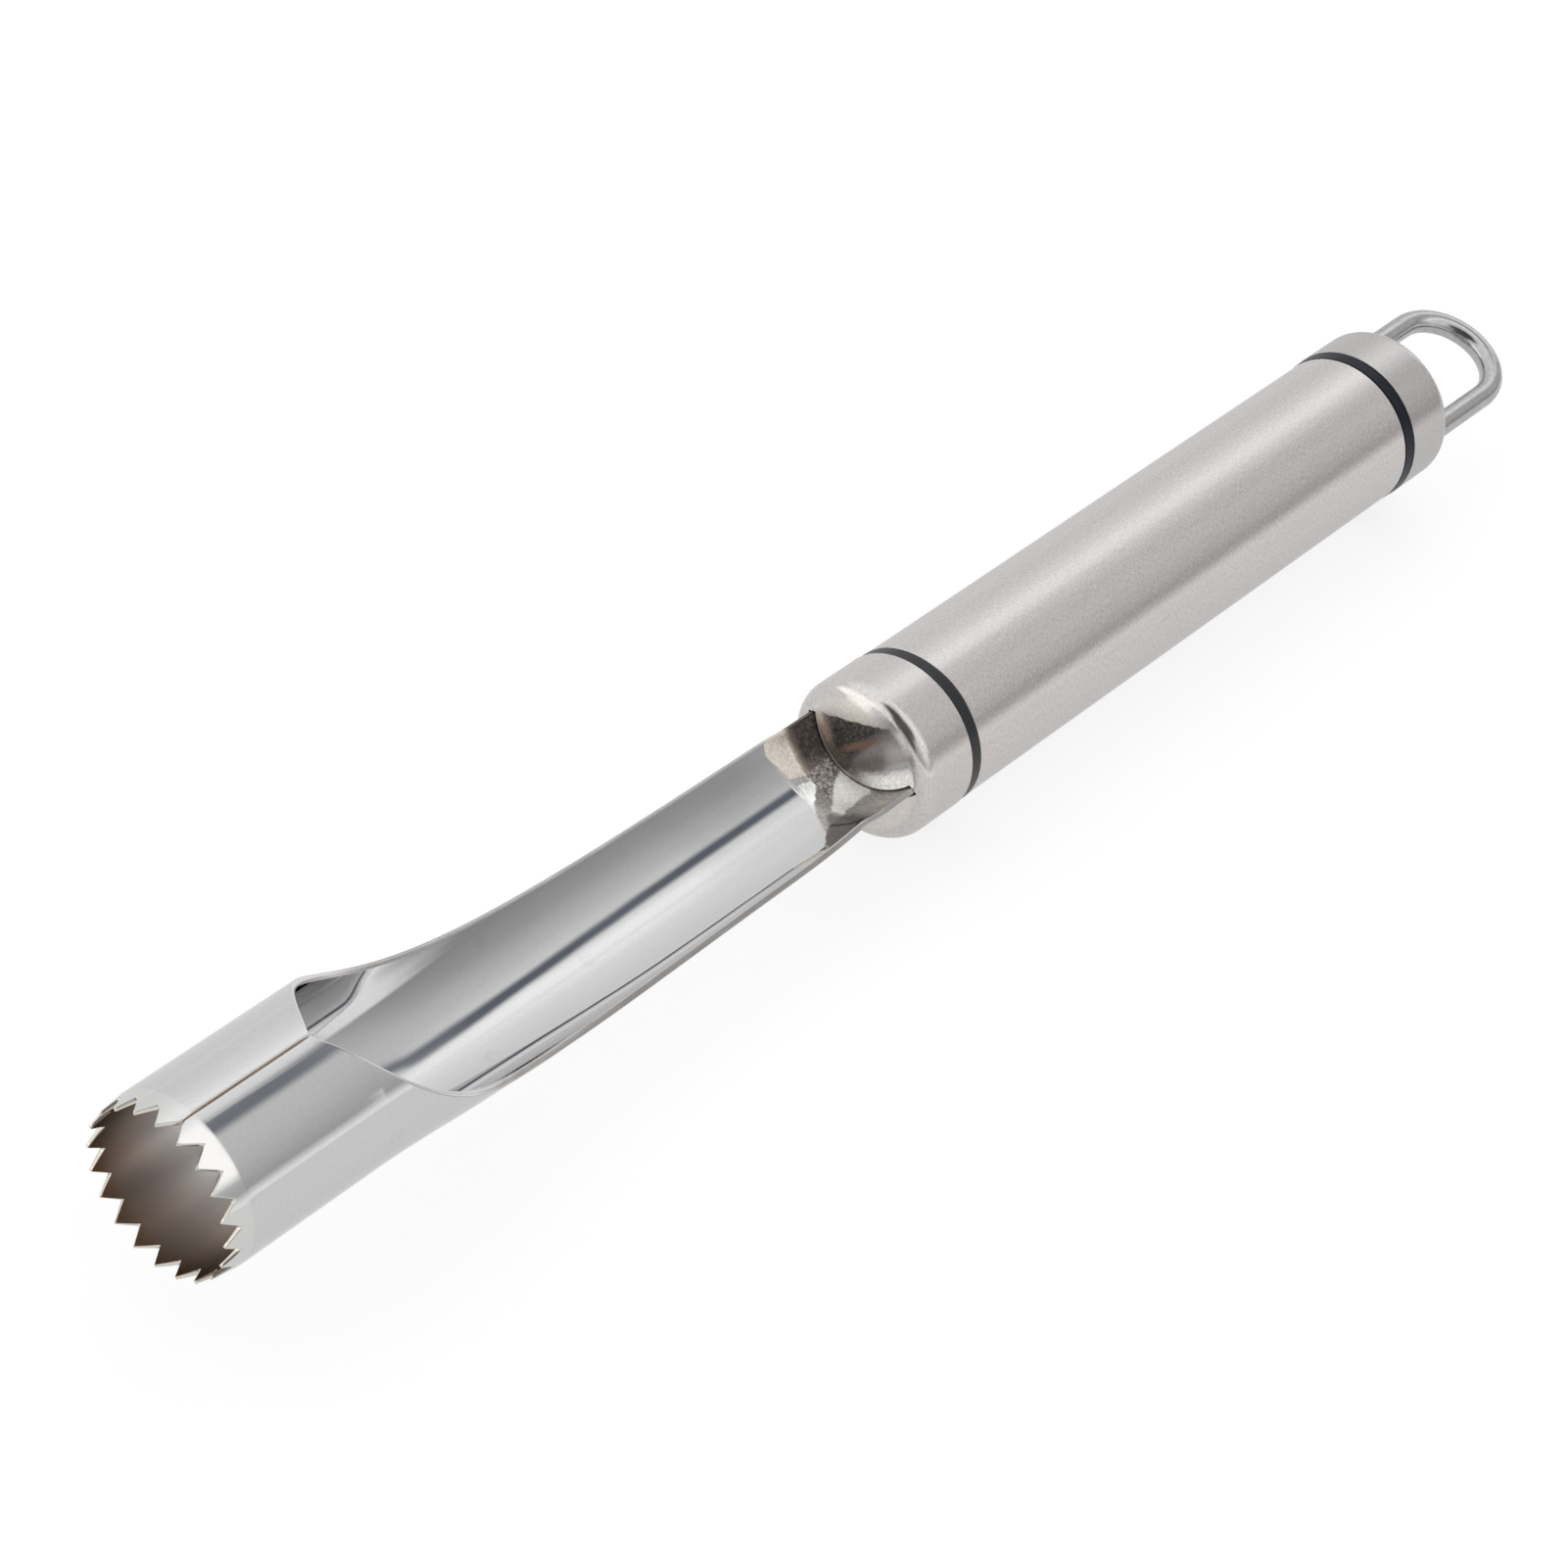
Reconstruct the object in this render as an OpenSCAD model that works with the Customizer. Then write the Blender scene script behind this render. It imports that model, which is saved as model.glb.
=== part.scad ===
// Apple corer: a rolled and toothed blade on a round steel handle with a wire hanging loop.
// It lies along X with the teeth at -X and the trough open to +Z. The origin is under the middle.

/* [Blade] */
// Length from the tooth tips to the crown of the front cap
blade_l = 109.6; // [100:0.1:125]
// Outside diameter of the coring tube
tube_od = 20.5; // [18:0.1:24]
// Thickness of the sheet steel
sheet_t = 0.8; // [0.6:0.1:1.2]
// Height of the coring tube's axis above the handle's axis
blade_rise = 9.7; // [8:0.1:12]
// Length of the closed tube, from the tooth tips to the point of the window
closed_l = 19.3; // [16:0.1:26]
// Gap of the butt seam along the top of the closed tube
seam_gap = 0.18; // [0.06:0.02:0.3]

/* [Teeth] */
// Number of teeth round the mouth
tooth_n = 20; // [14:1:26]
// Depth of the notches between the teeth
tooth_depth = 2.2; // [1.4:0.1:3.2]
// Width that is left flat at each tooth's point
tooth_flat = 0.1; // [0.04:0.02:0.3]
// Length of the bevel that is ground on the outside of the mouth
bevel_l = 3.5; // [2.8:0.1:6]
// How much the bevel takes off the sheet at the tips
bevel_depth = 0.4; // [0.2:0.05:0.5]

/* [Trough] */
// Radius of the open trough, measured on its underside
trough_r = 11.7; // [10.5:0.1:15]
// Half width of the flat blank behind the window
blank_half_w = 9.55; // [8.6:0.05:10.4]
// How much the half width narrows for each millimetre towards the handle
blank_taper = 0.009; // [0.004:0.001:0.014]
// Length over which the window's edges sweep down from the seam
window_fade = 12.2; // [10:0.1:15]
// Distance behind the window's point where the tube starts to open out
open_start = 10; // [8:0.5:14]
// Distance behind the window's point where the trough is fully open
open_end = 50; // [40:1:58]

/* [Neck] */
// Length of the pressed neck in front of the cap's crown
neck_l = 8; // [6.5:0.1:13]
// Length of the step that is pressed at the front of the neck
neck_step = 4.5; // [3:0.1:6]
// Radius of the neck, measured on its underside
neck_r = 10; // [9:0.1:11.5]
// Distance from the neck's lower corners to the rim of the anchor disc
neck_edge = 1.1; // [0.9:0.05:2]
// Depth of the neck's floor below the handle's axis
neck_floor = 1.95; // [1.6:0.05:2.6]

/* [Handle] */
// Diameter of the handle tube
handle_d = 20; // [19:0.1:24]
// Length of the handle tube
handle_l = 86.2; // [70:0.1:110]
// Wall of the handle tube
handle_wall = 0.8; // [0.6:0.1:1.4]
// Chamfer on the ends of the handle tube
handle_chamfer = 0.2; // [0.1:0.05:0.4]

/* [Caps and rings] */
// How far the caps stand proud of the handle tube
cap_proud = 0.15; // [0.1:0.05:0.5]
// Length of each cap, from its open edge to its crown
cap_l = 9.7; // [8.8:0.1:13]
// Wall of the drawn caps
cap_wall = 0.8; // [0.6:0.1:1.2]
// Radius of the domed end of each cap
dome_r = 25; // [20:1:60]
// Radius where the dome turns into the side
cap_edge_r = 1.8; // [1.4:0.1:2.6]
// Width of each dark ring
ring_w = 1.7; // [1.2:0.1:3]
// How far the rings stand proud of the handle tube
ring_proud = 0.05; // [0:0.05:0.3]

/* [Inner parts] */
// Thickness of the anchor discs inside the caps
anchor_t = 2; // [1.5:0.1:3]
// Length of each plug inside the handle tube
plug_l = 16; // [10:0.5:28]
// Wall of the cored out plugs
plug_wall = 1.8; // [1.2:0.1:2.6]
// Floor of the cored out plugs
plug_floor = 2.4; // [1.6:0.1:4]
// Thickness of the cross ribs in the plugs
rib_t = 1.4; // [1:0.1:2.4]

/* [Hanging loop] */
// Diameter of the wire
wire_d = 3; // [2.4:0.1:3.4]
// Distance from each leg's centre line to the rim of the anchor disc
leg_edge = 2.35; // [2.2:0.05:3.2]
// Reach of the loop beyond the crown of the rear cap
loop_reach = 20.05; // [16:0.05:30]
// Roll of the loop about the handle's axis
loop_roll = 8; // [0:1:20]

/* [Fits] */
// Radial gap between the plugs or discs and what they sit in
fit_gap = 0.05; // [0.03:0.01:0.1]
// Gap round the blade's tail in its slot
slot_gap = 0.26; // [0.1:0.01:0.3]
// Radial gap round the wire in its holes
wire_gap = 0.05; // [0.03:0.01:0.12]

/* [Hidden] */
$fn = 96;
past = 1;
tube_r = tube_od / 2;
bore_r = tube_r - sheet_t;
handle_in_r = handle_d / 2 - handle_wall;
cap_r = handle_d / 2 + cap_proud;
cap_in_r = cap_r - cap_wall;
disc_r = cap_in_r - fit_gap;
ring_r = handle_d / 2 + ring_proud;
// Distance from a cap's crown to where its straight side starts
cap_side = dome_r - sqrt(pow(dome_r - cap_edge_r, 2) - pow(cap_r - cap_edge_r, 2));
// Distance from a cap's crown to the back of its anchor disc
anchor_back = cap_side + anchor_t;
plug_in_cap = cap_l - anchor_back;
total_l = blade_l + 2 * cap_l + 2 * ring_w + handle_l + loop_reach;
axis_z = cap_r;
tip_x = -total_l / 2;
front_crown_x = tip_x + blade_l;
front_ring_x = front_crown_x + cap_l;
handle_x = front_ring_x + ring_w;
rear_ring_x = handle_x + handle_l;
rear_crown_x = rear_ring_x + ring_w + cap_l;
// Distance from the handle's axis to each leg's centre line
leg_r = disc_r - leg_edge;
bend_x = total_l / 2 - wire_d / 2 - leg_r;
// The blade's own places, measured from the tooth tips
neck_z = blade_l - neck_l;
neck_end_z = neck_z + neck_step;
tail_z = blade_l + anchor_back;
// The neck's half width comes from where its lower corners stand inside the anchor disc
neck_corner_r = disc_r - neck_edge;
neck_c = neck_r - neck_floor;
neck_angle = acos((pow(neck_r, 2) + pow(neck_c, 2) - pow(neck_corner_r, 2)) / (2 * neck_r * neck_c));
neck_half_w = PI * neck_r * neck_angle / 180;
steel = [0.77, 0.77, 0.78];
satin = [0.7, 0.69, 0.68];
dark_plastic = [0.16, 0.17, 0.21];

// Lays a shape that is drawn along Z along the row's X, with its Y pointing up
module lengthwise(x, up = 0)
    translate([x, 0, axis_z + up]) rotate([90, 0, 90]) children();

// The same for the rear end, where shapes are drawn from the crown towards the handle
module lengthwise_back(x)
    translate([x, 0, axis_z]) mirror([1, 0, 0]) rotate([90, 0, 90]) children();

function ease(t) = let (c = min(max(t, 0), 1)) c * c * (3 - 2 * c);
function mix(a, b, m) = a * (1 - m) + b * m;
function degrees(a) = a * 180 / PI;

// How far the section at z has opened, and how far it has turned into the neck
function opened(z) = ease((z - closed_l - open_start) / (open_end - open_start));
function necked(z) = ease((z - neck_z) / (neck_end_z - neck_z));

// Half width of the flat blank: a full turn at the window's point, then a narrow strip
function blank_w(z) = let (d = z - closed_l)
    blank_half_w - blank_taper * d + (PI * tube_r - blank_half_w) * exp(-d / window_fade);
function half_w(z) = mix(blank_w(z), neck_half_w, necked(z));

// Radius and floor of the rolled sheet, measured on its underside from the coring tube's axis
function open_r(z) = mix(tube_r, trough_r, opened(z));
function roll_r(z) = 1 / mix(1 / open_r(z), 1 / neck_r, necked(z));
function floor_y(z) = mix(-tube_r, -blade_rise - neck_floor, necked(z));
function half_angle(z) = min(degrees(half_w(z) / roll_r(z)), 179);

// One closed ring of points round the sheet's section, drawn in from its surfaces by inset
sheet_n = 48;
function ring(z, inset = 0) = let (
        r = roll_r(z),
        a = half_angle(z) - degrees(inset / r),
        c = floor_y(z) + r,
        side = function (rad) [for (j = [0:sheet_n])
            let (b = a * (2 * j / sheet_n - 1)) [rad * sin(b), c - rad * cos(b), z]],
        under = side(r - inset),
        over = side(r - sheet_t + inset)
    ) concat(under, [for (j = [sheet_n:-1:0]) over[j]]);

// Triangles of a loft through rings of m points, with strips across its two ends
function loft_faces(rings, m) = let (last = (rings - 1) * m) concat(
    [for (i = [0:rings - 2], j = [0:m - 1]) let (a = i * m + j, b = i * m + (j + 1) % m)
        each [[a, a + m, b], [b, a + m, b + m]]],
    [for (j = [0:m / 2 - 2]) let (a = j, b = m - 1 - j)
        each [[a, a + 1, b], [a + 1, b - 1, b]]],
    [for (j = [0:m / 2 - 2]) let (a = last + j, b = last + m - 1 - j)
        each [[a, b, a + 1], [a + 1, b, b - 1]]]);

// The open part of the blade, with a tongue that is set into the end of the exact tube
tongue = 0.4;
set_in = 0.03;
trough_steps = 26;
neck_steps = 7;
module trough() {
    from = closed_l + tongue;
    rings = concat(
        [ring(closed_l - tongue, set_in), ring(closed_l, set_in)],
        [for (i = [0:trough_steps]) ring(mix(from, neck_z, pow(i / trough_steps, 1.5)))],
        [for (i = [1:neck_steps]) ring(mix(neck_z, neck_end_z, i / neck_steps))],
        [ring(tail_z)]);
    polyhedron([for (r = rings) each r], loft_faces(len(rings), 2 * (sheet_n + 1)));
}

// The notches between the teeth, with one of them on the seam
module notches() {
    half = PI * bore_r / tooth_n - tooth_flat / 2;
    flare = half * (1 + past / tooth_depth);
    for (i = [0:tooth_n - 1])
        rotate(i * 360 / tooth_n)
            translate([0, tube_r + past, 0])
                rotate([90, 0, 0])
                    linear_extrude(sheet_t + 2 * past)
                        polygon([[-flare, -past], [flare, -past], [0, tooth_depth]]);
}

// The ground bevel: what lies outside a cone at the mouth
module bevel_cut() {
    slope = bevel_depth / bevel_l;
    translate([0, 0, -past])
        difference() {
            cylinder(r = tube_r + past, h = bevel_l + past);
            cylinder(r1 = tube_r - bevel_depth - slope * past, r2 = tube_r, h = bevel_l + past);
        }
}

module blade() {
    color(steel)
        lengthwise(tip_x, blade_rise) {
            difference() {
                cylinder(r = tube_r, h = closed_l);
                translate([0, 0, -past])
                    cylinder(r = bore_r, h = closed_l + 2 * past);
                notches();
                bevel_cut();
                translate([-seam_gap / 2, 0, -past])
                    cube([seam_gap, tube_r + past, closed_l + 2 * past]);
            }
            trough();
        }
}

// The slot for the blade's tail: the neck's own section, grown by the gap
module tail_slot() {
    reach = neck_half_w + slot_gap;
    a = degrees(reach / neck_r);
    far = 2 * neck_r;
    translate([0, neck_r - neck_floor, -past])
        linear_extrude(anchor_back + 2 * past)
            intersection() {
                difference() {
                    circle(r = neck_r + slot_gap);
                    circle(r = neck_r - sheet_t - slot_gap);
                }
                polygon([[0, 0], [-far * sin(a), -far * cos(a)], [0, -2 * far], [far * sin(a), -far * cos(a)]]);
            }
}

// The two legs of the loop, grown by the gap, as they pass through a cap
module leg_holes() {
    rotate(loop_roll)
        for (side = [-1, 1])
            translate([side * leg_r, 0, -past])
                cylinder(r = wire_d / 2 + wire_gap, h = anchor_back + 2 * past);
}

// Half section of a domed cup, drawn in from its outside by inset, with its crown at zero
module cup_section(inset) {
    turn_r = cap_r - cap_edge_r;
    meet_r = turn_r * dome_r / (dome_r - cap_edge_r);
    over = inset > 0 ? past : 0;
    intersection() {
        translate([0, dome_r])
            circle(r = dome_r - inset, $fn = 360);
        square([meet_r - inset, cap_l + over]);
    }
    translate([turn_r, cap_side])
        circle(r = cap_edge_r - inset);
    translate([0, cap_side])
        square([cap_r - inset, cap_l + over - cap_side]);
}

module cup() {
    rotate_extrude()
        difference() {
            cup_section(0);
            cup_section(cap_wall);
        }
}

module anchor_disc() {
    translate([0, 0, cap_side])
        cylinder(r = disc_r, h = anchor_t);
}

module dark_ring() {
    difference() {
        cylinder(r = ring_r, h = ring_w);
        translate([0, 0, -past])
            cylinder(r = cap_in_r, h = ring_w + 2 * past);
    }
}

// The moulded plug: it fills the cap and the ring, steps down into the tube and is cored out
module plug() {
    wide_l = plug_in_cap + ring_w;
    core_r = handle_in_r - fit_gap - plug_wall;
    core_l = wide_l + plug_l - plug_floor;
    difference() {
        union() {
            cylinder(r = disc_r, h = wide_l);
            cylinder(r = handle_in_r - fit_gap, h = wide_l + plug_l);
        }
        translate([0, 0, plug_floor])
            difference() {
                cylinder(r = core_r, h = core_l + past);
                for (turn = [0, 90])
                    rotate(turn)
                        translate([-rib_t / 2, -core_r - past, -past])
                            cube([rib_t, 2 * (core_r + past), core_l + 3 * past]);
            }
    }
}

module blade_anchor() {
    color(satin)
        lengthwise(front_crown_x)
            difference() {
                anchor_disc();
                tail_slot();
            }
}

module front_cap() {
    color(satin)
        lengthwise(front_crown_x)
            difference() {
                cup();
                tail_slot();
            }
}

module front_ring() {
    color(dark_plastic)
        lengthwise(front_ring_x)
            dark_ring();
}

module front_plug() {
    color(dark_plastic)
        lengthwise(front_crown_x + anchor_back)
            plug();
}

module handle_tube() {
    r = handle_d / 2;
    c = handle_chamfer;
    color(satin)
        lengthwise(handle_x)
            rotate_extrude()
                polygon([[handle_in_r, 0], [r - c, 0], [r, c], [r, handle_l - c],
                    [r - c, handle_l], [handle_in_r, handle_l]]);
}

module rear_plug() {
    color(dark_plastic)
        lengthwise_back(rear_crown_x - anchor_back)
            plug();
}

module rear_ring() {
    color(dark_plastic)
        lengthwise(rear_ring_x)
            dark_ring();
}

module rear_cap() {
    color(satin)
        lengthwise_back(rear_crown_x)
            difference() {
                cup();
                leg_holes();
            }
}

module loop_anchor() {
    color(satin)
        lengthwise_back(rear_crown_x)
            difference() {
                anchor_disc();
                leg_holes();
            }
}

// One bent wire: its legs reach through the cap and end flush with the back of the anchor disc
module hanging_loop() {
    leg_x = rear_crown_x - anchor_back;
    color(steel)
        translate([0, 0, axis_z])
            rotate([loop_roll, 0, 0]) {
                for (side = [-1, 1])
                    translate([leg_x, side * leg_r, 0])
                        rotate([0, 90, 0])
                            cylinder(d = wire_d, h = bend_x - leg_x);
                translate([bend_x, 0, 0])
                    rotate(-90)
                        rotate_extrude(angle = 180)
                            translate([leg_r, 0])
                                circle(d = wire_d);
            }
}

blade();
blade_anchor();
front_cap();
front_ring();
front_plug();
handle_tube();
rear_plug();
rear_ring();
rear_cap();
loop_anchor();
hanging_loop();
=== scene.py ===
import math

import bmesh
import bpy
from mathutils import Matrix, Vector


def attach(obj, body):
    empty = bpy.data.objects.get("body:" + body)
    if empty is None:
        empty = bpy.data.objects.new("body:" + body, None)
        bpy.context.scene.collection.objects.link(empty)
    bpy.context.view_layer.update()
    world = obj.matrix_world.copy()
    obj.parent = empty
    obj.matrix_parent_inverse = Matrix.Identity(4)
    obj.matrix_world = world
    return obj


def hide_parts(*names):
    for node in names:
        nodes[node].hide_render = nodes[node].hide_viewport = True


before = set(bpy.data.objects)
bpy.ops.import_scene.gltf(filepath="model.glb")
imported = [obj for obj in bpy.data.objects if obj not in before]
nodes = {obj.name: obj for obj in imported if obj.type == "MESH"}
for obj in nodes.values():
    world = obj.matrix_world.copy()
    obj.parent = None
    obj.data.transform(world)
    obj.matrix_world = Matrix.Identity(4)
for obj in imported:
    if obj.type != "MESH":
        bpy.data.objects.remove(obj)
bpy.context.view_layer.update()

MM = 0.001

# The places of the CAD model, in millimetres: along X from the middle, and up from the floor
TIP_X = -119.325
AXIS_Z = 10.15
RISE = 9.7
BLADE_Z = AXIS_Z + RISE
CROWN_X = -9.725
REAR_CROWN_X = 99.275

# The blade's sizes in millimetres, with each Z counted from the tooth tips. They are the CAD
# model's, apart from NECK_W, the edges' four and the flare's, which follow the photo more closely
TUBE_R = 10.25
SHEET = 0.8
CLOSED = 19.3
SEAM = 0.18
BLANK_W = 9.55
TAPER = 0.009
FADE = 12.2
TROUGH_R = 11.7
OPEN_START = 10
OPEN_LENGTH = 40
NECK_Z = 101.6
NECK_END = 106.1
NECK_R = 10.0
NECK_FLOOR = 1.95
NECK_W = 9.4
TAIL_Z = 109.6 + 5.35
TEETH = 20
TOOTH_DEPTH = 2.2
TOOTH_FLAT = 0.1
BEVEL_L = 3.5
BEVEL_D = 0.4
TIP_BREAK = 0.05
TIP_EDGE = 0.08
SIDE_EDGE = 0.2
WINDOW_EDGE = 0.32
# How far the near wing's edge stands out past the round section, at places along the blade, and
# the angles from its lowest line at which that starts and is full
FLARE = ((27, 0.0), (33, 0.43), (41, 0.58), (50, 0.69), (60, 0.87), (72, 0.94), (88, 0.92),
         (97, 0.82), (105, 0.0))
FLARE_ANGLES = (8, 58)

# The hanging loop's wire, in millimetres. The loop is turned a little about the tool's axis
BEND_X = 110.875
LEG_R = 6.95
WIRE_R = 1.5
ROLL = math.radians(8)


def ease(t):
    t = min(max(t, 0.0), 1.0)
    return t * t * (3 - 2 * t)


def mix(a, b, m):
    return a * (1 - m) + b * m


# The camera of the photograph, fitted to the object's own edges

PHOTO_SIZE = 1601
FOCAL_PIXELS = 4706.9
SENSOR = 36.0


def make_camera():
    data = bpy.data.cameras.new("view_camera")
    data.sensor_width = SENSOR
    data.lens = SENSOR * FOCAL_PIXELS / PHOTO_SIZE
    data.clip_start = 0.02
    data.clip_end = 60.0
    cam = bpy.data.objects.new("view_camera", data)
    bpy.context.scene.collection.objects.link(cam)
    right = Vector((0.647439, -0.733555, 0.206689))
    up = Vector((0.442773, 0.582788, 0.681403))
    back = Vector((-0.620302, -0.349650, 0.702118))
    m = Matrix((right, up, back)).transposed().to_4x4()
    m.translation = Vector((-341.013, -179.033, 376.207)) * MM
    cam.matrix_world = m
    bpy.context.scene.camera = cam


# Small helpers for node materials

class Tree:
    """Builds a node tree. What is returned is an output socket, which other calls take as a value."""

    def __init__(self, tree):
        self.t = tree
        self.t.nodes.clear()

    def node(self, kind, **sets):
        n = self.t.nodes.new(kind)
        for k, v in sets.items():
            setattr(n, k, v)
        return n

    def put(self, socket, value):
        if isinstance(value, bpy.types.NodeSocket):
            self.t.links.new(value, socket)
        else:
            socket.default_value = value

    def math(self, op, a, b=0.0, c=None):
        n = self.node("ShaderNodeMath", operation=op)
        self.put(n.inputs[0], a)
        self.put(n.inputs[1], b)
        if c is not None:
            self.put(n.inputs[2], c)
        return n.outputs[0]

    def product(self, mask, *others):
        for other in others:
            mask = self.math("MULTIPLY", mask, other)
        return mask

    def inverse(self, mask):
        return self.math("SUBTRACT", 1.0, mask)

    def length(self, a, b):
        """The length of the vector whose two parts are a and b."""
        squares = self.math("ADD", self.math("MULTIPLY", a, a), self.math("MULTIPLY", b, b))
        return self.math("SQRT", squares)

    def vector_math(self, op, values):
        n = self.node("ShaderNodeVectorMath", operation=op)
        for socket, value in zip(n.inputs, values):
            self.put(socket, value)
        return n.outputs

    def vector(self, op, *values):
        return self.vector_math(op, values)["Vector"]

    def measure(self, op, *values):
        return self.vector_math(op, values)["Value"]

    def combine(self, x, y=0.0, z=0.0):
        n = self.node("ShaderNodeCombineXYZ")
        for socket, value in zip(n.inputs, (x, y, z)):
            self.put(socket, value)
        return n.outputs[0]

    def ramp(self, fac, stops):
        n = self.node("ShaderNodeValToRGB")
        els = n.color_ramp.elements
        while len(els) < len(stops):
            els.new(0.5)
        for e, (p, c) in zip(els, stops):
            e.position = p
            e.color = (c, c, c, 1) if isinstance(c, (int, float)) else (*c, 1)
        self.put(n.inputs[0], fac)
        return n.outputs[0]

    def span(self, v, a, b, lo=0.0, hi=1.0, smooth=True):
        """lo up to a, hi from b, and a smooth or straight run between them."""
        n = self.node("ShaderNodeMapRange", clamp=True)
        n.interpolation_type = "SMOOTHSTEP" if smooth else "LINEAR"
        self.put(n.inputs["Value"], v)
        for k, x in zip(("From Min", "From Max", "To Min", "To Max"), (a, b, lo, hi)):
            n.inputs[k].default_value = x
        return n.outputs["Result"]

    def span_mm(self, v, a, b, lo=0.0, hi=1.0):
        return self.span(v, a * MM, b * MM, lo, hi)

    def band(self, v, a, b, c, d):
        """0 up to a, 1 from b to c, and 0 again from d."""
        return self.product(self.span(v, a, b), self.span(v, c, d, 1.0, 0.0))

    def band_mm(self, v, a, b, c, d):
        return self.band(v, a * MM, b * MM, c * MM, d * MM)

    def hump(self, v, middle, full, none):
        """1 within full of the middle, and 0 beyond none of it."""
        return self.span(self.math("ABSOLUTE", self.math("SUBTRACT", v, middle)), full, none, 1.0, 0.0)

    def blend(self, fac, a, b, kind="MIX"):
        n = self.node("ShaderNodeMix", data_type="RGBA", blend_type=kind)
        self.put(n.inputs[0], fac)
        self.put(n.inputs[6], a if isinstance(a, bpy.types.NodeSocket) else (*a, 1))
        self.put(n.inputs[7], b if isinstance(b, bpy.types.NodeSocket) else (*b, 1))
        return n.outputs[2]

    def noises(self, vec, scale, detail=2.0, rough=0.5):
        """One noise as a value, and three as a colour."""
        n = self.node("ShaderNodeTexNoise")
        self.put(n.inputs["Vector"], vec)
        n.inputs["Scale"].default_value = scale
        n.inputs["Detail"].default_value = detail
        n.inputs["Roughness"].default_value = rough
        return n.outputs[0], n.outputs["Color"]

    def noise(self, vec, scale, detail=2.0, rough=0.5):
        return self.noises(vec, scale, detail, rough)[0]

    def shaken(self, vec, colour, size):
        """vec, moved about in its first two parts by a noise's colour, over size in millimetres."""
        moved = self.vector("MULTIPLY_ADD", colour, (size * MM, size * MM, 0.0), vec)
        return self.vector("SUBTRACT", moved, (size / 2 * MM, size / 2 * MM, 0.0))

    def spot(self, vec, x, y, rx, ry, turn=0.0, soft=0.5):
        """1 inside an ellipse in the plan, in millimetres, and 0 outside it."""
        n = self.node("ShaderNodeMapping", vector_type="TEXTURE")
        n.inputs["Location"].default_value = (x * MM, y * MM, 0)
        n.inputs["Rotation"].default_value = (0, 0, math.radians(turn))
        n.inputs["Scale"].default_value = (rx * MM, ry * MM, 1e6)
        self.put(n.inputs["Vector"], vec)
        return self.span(self.measure("LENGTH", n.outputs[0]), 1 - soft, 1 + soft, 1.0, 0.0)

    def side(self, vec, a, b, soft=0.25):
        """1 on the left of the line from a to b in the plan, in millimetres, and 0 on its right."""
        dx, dy = b[0] - a[0], b[1] - a[1]
        size = math.hypot(dx, dy)
        nx, ny = -dy / size, dx / size
        base = nx * a[0] + ny * a[1]
        return self.span_mm(self.measure("DOT_PRODUCT", vec, (nx, ny, 0)), base - soft, base + soft)

    def stretch(self, vec, sx, sy, sz):
        n = self.node("ShaderNodeMapping")
        n.inputs["Scale"].default_value = (sx, sy, sz)
        self.put(n.inputs["Vector"], vec)
        return n.outputs[0]

    def surface_normal(self):
        return self.node("ShaderNodeNewGeometry").outputs["Normal"]

    def bump(self, height, strength, distance, normal=None):
        n = self.node("ShaderNodeBump")
        n.inputs["Strength"].default_value = strength
        n.inputs["Distance"].default_value = distance
        self.put(n.inputs["Height"], height)
        if normal is not None:
            self.put(n.inputs["Normal"], normal)
        return n.outputs[0]


def material(name):
    """A material, its tree and its shader. The tree keeps the socket that the shader goes to."""
    m = bpy.data.materials.new(name)
    m.use_nodes = True
    t = Tree(m.node_tree)
    t.surface = t.node("ShaderNodeOutputMaterial").inputs["Surface"]
    s = t.node("ShaderNodeBsdfPrincipled")
    t.put(t.surface, s.outputs[0])
    return m, t, s


def place(t):
    """Object coordinates and their parts, in metres of the shared frame."""
    pos = t.node("ShaderNodeTexCoord").outputs["Object"]
    sep = t.node("ShaderNodeSeparateXYZ")
    t.put(sep.inputs[0], pos)
    return pos, sep.outputs[0], sep.outputs[1], sep.outputs[2]


# The studio: a white floor and a soft pale surround with darker bands, as round a product table

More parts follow.
